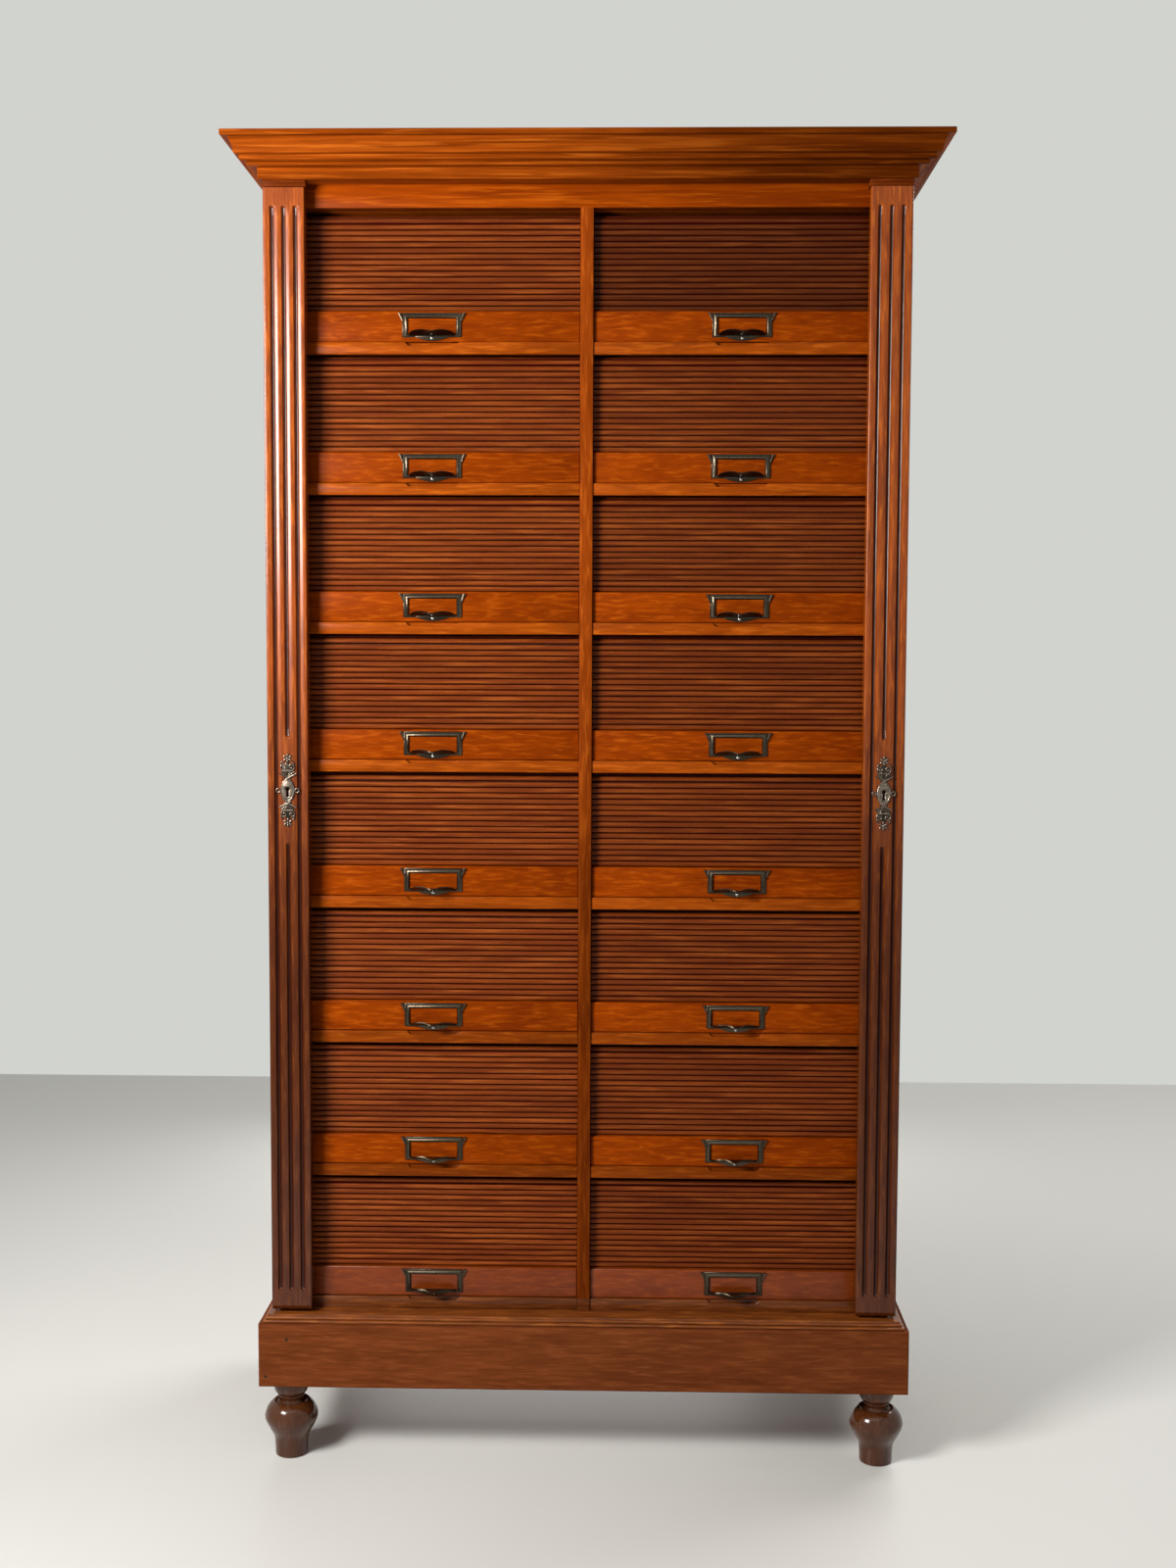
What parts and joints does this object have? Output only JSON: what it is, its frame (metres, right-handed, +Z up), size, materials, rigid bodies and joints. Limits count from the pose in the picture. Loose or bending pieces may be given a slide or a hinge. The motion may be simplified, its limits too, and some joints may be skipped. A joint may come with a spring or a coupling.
{
  "type": "tambour filing cabinet",
  "caption": "Tall antique filing cabinet with rows of roll-shutter compartments, fluted locking pilasters, moulded cornice and plinth on turned feet; each shutter slides up on its own.",
  "frame": {"origin": "on the floor under the middle of the cabinet's outer box", "axes": "+Z up, the front with the shutters faces -Y, +X to the right of someone facing the front"},
  "size_m": [0.942, 0.431, 1.7754],
  "materials": {
    "case_wood": "French-polished mahogany, glossy",
    "dark_polish": "dark glossy polished wood",
    "lath_wood": "polished orange-brown wood, streaky grain",
    "slat_wood": "polished red-brown wood slats on canvas",
    "inner_wood": "waxed plain wood",
    "dark_brass": "patinated brass, dull sheen"
  },
  "bodies": {
    "cabinet": {"feet": "dark_polish", "plinth": "case_wood", "case_sides": "case_wood", "centre_partition": "inner_wood", "shelves": "inner_wood", "back_boards": "inner_wood", "face_frame": "case_wood", "cornice": "case_wood"},
    "pilaster_left": {"pilaster_left": "case_wood", "lock_fittings_left": "dark_brass"},
    "pilaster_right": {"pilaster_right": "case_wood", "lock_fittings_right": "dark_brass"},
    "shutter_left_1": {"lath_left_1": "lath_wood", "tambour_left_1": "slat_wood", "pull_left_1": "dark_brass"},
    "shutter_left_2": {"lath_left_2": "lath_wood", "tambour_left_2": "slat_wood", "pull_left_2": "dark_brass"},
    "shutter_left_3": {"lath_left_3": "lath_wood", "tambour_left_3": "slat_wood", "pull_left_3": "dark_brass"},
    "shutter_left_4": {"lath_left_4": "lath_wood", "tambour_left_4": "slat_wood", "pull_left_4": "dark_brass"},
    "shutter_left_5": {"lath_left_5": "lath_wood", "tambour_left_5": "slat_wood", "pull_left_5": "dark_brass"},
    "shutter_left_6": {"lath_left_6": "lath_wood", "tambour_left_6": "slat_wood", "pull_left_6": "dark_brass"},
    "shutter_left_7": {"lath_left_7": "lath_wood", "tambour_left_7": "slat_wood", "pull_left_7": "dark_brass"},
    "shutter_left_8": {"lath_left_8": "lath_wood", "tambour_left_8": "slat_wood", "pull_left_8": "dark_brass"},
    "shutter_right_1": {"lath_right_1": "lath_wood", "tambour_right_1": "slat_wood", "pull_right_1": "dark_brass"},
    "shutter_right_2": {"lath_right_2": "lath_wood", "tambour_right_2": "slat_wood", "pull_right_2": "dark_brass"},
    "shutter_right_3": {"lath_right_3": "lath_wood", "tambour_right_3": "slat_wood", "pull_right_3": "dark_brass"},
    "shutter_right_4": {"lath_right_4": "lath_wood", "tambour_right_4": "slat_wood", "pull_right_4": "dark_brass"},
    "shutter_right_5": {"lath_right_5": "lath_wood", "tambour_right_5": "slat_wood", "pull_right_5": "dark_brass"},
    "shutter_right_6": {"lath_right_6": "lath_wood", "tambour_right_6": "slat_wood", "pull_right_6": "dark_brass"},
    "shutter_right_7": {"lath_right_7": "lath_wood", "tambour_right_7": "slat_wood", "pull_right_7": "dark_brass"},
    "shutter_right_8": {"lath_right_8": "lath_wood", "tambour_right_8": "slat_wood", "pull_right_8": "dark_brass"}
  },
  "joints": [
    {"name": "pilaster_left_swing", "type": "hinge", "parent": "cabinet", "child": "pilaster_left", "pos_m": [-0.418, -0.1555, 0.9612], "axis": [0, 0, -1], "range_deg": [0, 90]},
    {"name": "pilaster_right_swing", "type": "hinge", "parent": "cabinet", "child": "pilaster_right", "pos_m": [0.418, -0.1555, 0.9612], "axis": [0, 0, 1], "range_deg": [0, 90]},
    {"name": "shutter_left_1_slide", "type": "slide", "parent": "cabinet", "child": "shutter_left_1", "axis": [0, 0, 1], "range_m": [0, 0.11], "deforming": ["tambour_left_1"]},
    {"name": "shutter_left_2_slide", "type": "slide", "parent": "cabinet", "child": "shutter_left_2", "axis": [0, 0, 1], "range_m": [0, 0.11], "deforming": ["tambour_left_2"]},
    {"name": "shutter_left_3_slide", "type": "slide", "parent": "cabinet", "child": "shutter_left_3", "axis": [0, 0, 1], "range_m": [0, 0.11], "deforming": ["tambour_left_3"]},
    {"name": "shutter_left_4_slide", "type": "slide", "parent": "cabinet", "child": "shutter_left_4", "axis": [0, 0, 1], "range_m": [0, 0.11], "deforming": ["tambour_left_4"]},
    {"name": "shutter_left_5_slide", "type": "slide", "parent": "cabinet", "child": "shutter_left_5", "axis": [0, 0, 1], "range_m": [0, 0.11], "deforming": ["tambour_left_5"]},
    {"name": "shutter_left_6_slide", "type": "slide", "parent": "cabinet", "child": "shutter_left_6", "axis": [0, 0, 1], "range_m": [0, 0.11], "deforming": ["tambour_left_6"]},
    {"name": "shutter_left_7_slide", "type": "slide", "parent": "cabinet", "child": "shutter_left_7", "axis": [0, 0, 1], "range_m": [0, 0.11], "deforming": ["tambour_left_7"]},
    {"name": "shutter_left_8_slide", "type": "slide", "parent": "cabinet", "child": "shutter_left_8", "axis": [0, 0, 1], "range_m": [0, 0.11], "deforming": ["tambour_left_8"]},
    {"name": "shutter_right_1_slide", "type": "slide", "parent": "cabinet", "child": "shutter_right_1", "axis": [0, 0, 1], "range_m": [0, 0.11], "deforming": ["tambour_right_1"]},
    {"name": "shutter_right_2_slide", "type": "slide", "parent": "cabinet", "child": "shutter_right_2", "axis": [0, 0, 1], "range_m": [0, 0.11], "deforming": ["tambour_right_2"]},
    {"name": "shutter_right_3_slide", "type": "slide", "parent": "cabinet", "child": "shutter_right_3", "axis": [0, 0, 1], "range_m": [0, 0.11], "deforming": ["tambour_right_3"]},
    {"name": "shutter_right_4_slide", "type": "slide", "parent": "cabinet", "child": "shutter_right_4", "axis": [0, 0, 1], "range_m": [0, 0.11], "deforming": ["tambour_right_4"]},
    {"name": "shutter_right_5_slide", "type": "slide", "parent": "cabinet", "child": "shutter_right_5", "axis": [0, 0, 1], "range_m": [0, 0.11], "deforming": ["tambour_right_5"]},
    {"name": "shutter_right_6_slide", "type": "slide", "parent": "cabinet", "child": "shutter_right_6", "axis": [0, 0, 1], "range_m": [0, 0.11], "deforming": ["tambour_right_6"]},
    {"name": "shutter_right_7_slide", "type": "slide", "parent": "cabinet", "child": "shutter_right_7", "axis": [0, 0, 1], "range_m": [0, 0.11], "deforming": ["tambour_right_7"]},
    {"name": "shutter_right_8_slide", "type": "slide", "parent": "cabinet", "child": "shutter_right_8", "axis": [0, 0, 1], "range_m": [0, 0.11], "deforming": ["tambour_right_8"]}
  ]
}
